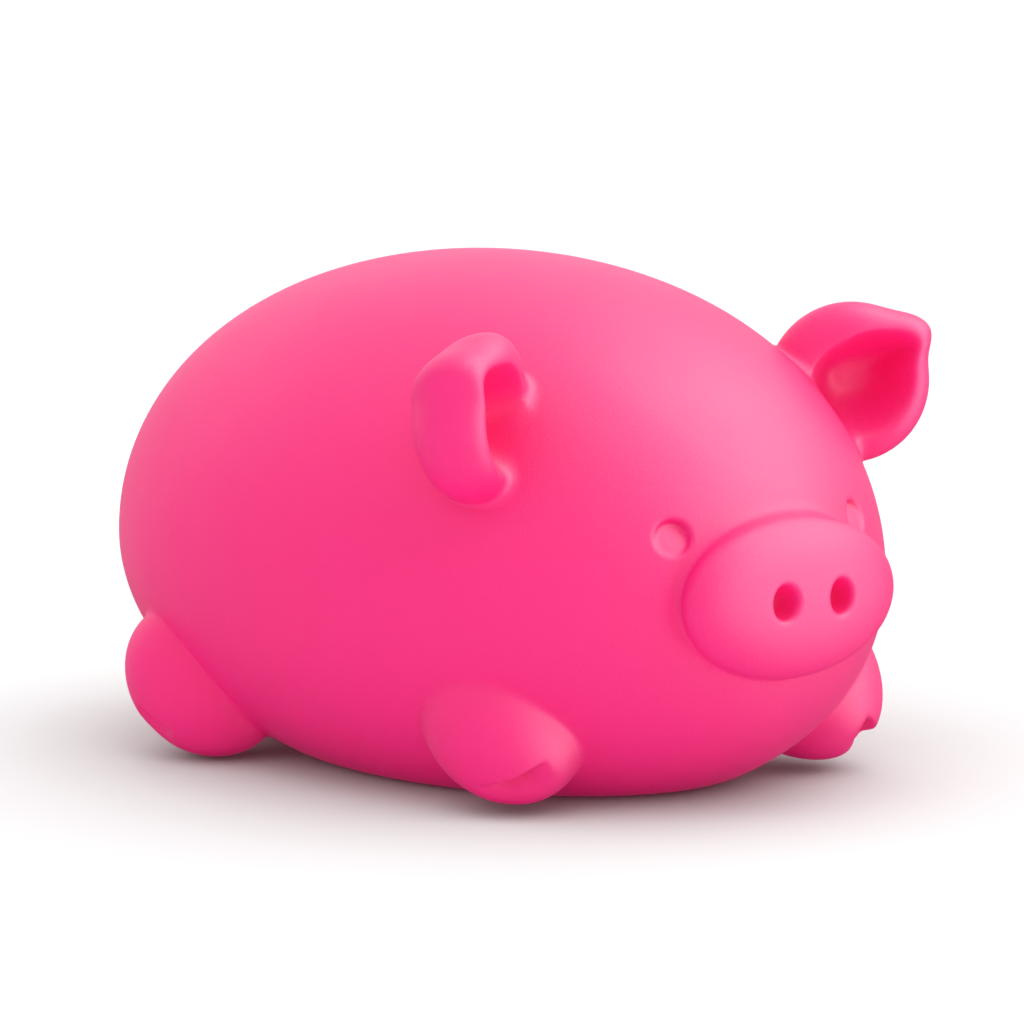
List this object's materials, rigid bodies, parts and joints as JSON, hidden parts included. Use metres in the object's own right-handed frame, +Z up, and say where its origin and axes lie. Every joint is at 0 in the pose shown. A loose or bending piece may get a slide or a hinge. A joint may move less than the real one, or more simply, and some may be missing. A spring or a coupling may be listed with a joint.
{
  "type": "pig squeeze toy",
  "caption": "Soft egg-shaped pig that lies on its belly, with cupped ears, a disc snout, stub legs and a curled tail, dough-filled to be squeezed and to spring back slowly.",
  "frame": {"origin": "on the surface under the belly, at the middle of the length and width", "axes": "+Z up, the snout towards -Y, the pig's left side towards +X"},
  "size_m": [0.0738, 0.1072, 0.0565],
  "materials": {
    "skin": "matte",
    "plug": "matte",
    "filling": "matte dough"
  },
  "bodies": {
    "body": {"body_skin": "skin", "filling": "filling", "fill_plug": "plug", "snout": "skin"},
    "left_ear": {"left_ear": "skin"},
    "right_ear": {"right_ear": "skin"},
    "front_left_leg": {"front_left_leg": "skin"},
    "front_right_leg": {"front_right_leg": "skin"},
    "rear_left_leg": {"rear_left_leg": "skin"},
    "rear_right_leg": {"rear_right_leg": "skin"},
    "tail": {"tail": "skin"}
  },
  "joints": [
    {"name": "left_ear_flex", "type": "hinge", "parent": "body", "child": "left_ear", "pos_m": [0.02277, -0.02749, 0.04116], "axis": [-0.5417, 0.2808, 0.7923], "range_deg": [-20, 20], "stiffness_Nm_per_rad": 0.01},
    {"name": "right_ear_flex", "type": "hinge", "parent": "body", "child": "right_ear", "pos_m": [-0.02277, -0.02749, 0.04116], "axis": [-0.5417, -0.2808, -0.7923], "range_deg": [-20, 20], "stiffness_Nm_per_rad": 0.01},
    {"name": "front_left_leg_flex", "type": "hinge", "parent": "body", "child": "front_left_leg", "pos_m": [0.0259, -0.02295, 0.00733], "axis": [0, 0, 1], "range_deg": [-6, 6], "stiffness_Nm_per_rad": 0.02},
    {"name": "front_right_leg_flex", "type": "hinge", "parent": "body", "child": "front_right_leg", "pos_m": [-0.0259, -0.02295, 0.00733], "axis": [0, 0, -1], "range_deg": [-6, 6], "stiffness_Nm_per_rad": 0.02},
    {"name": "rear_left_leg_flex", "type": "hinge", "parent": "body", "child": "rear_left_leg", "pos_m": [0.0274, 0.01881, 0.00769], "axis": [0, 0, 1], "range_deg": [-6, 6], "stiffness_Nm_per_rad": 0.02},
    {"name": "rear_right_leg_flex", "type": "hinge", "parent": "body", "child": "rear_right_leg", "pos_m": [-0.0274, 0.01881, 0.00769], "axis": [0, 0, -1], "range_deg": [-6, 6], "stiffness_Nm_per_rad": 0.02},
    {"name": "tail_flex", "type": "hinge", "parent": "body", "child": "tail", "pos_m": [0, 0.04624, 0.03744], "axis": [0, -0.5268, 0.85], "range_deg": [-15, 15], "stiffness_Nm_per_rad": 0.002}
  ]
}
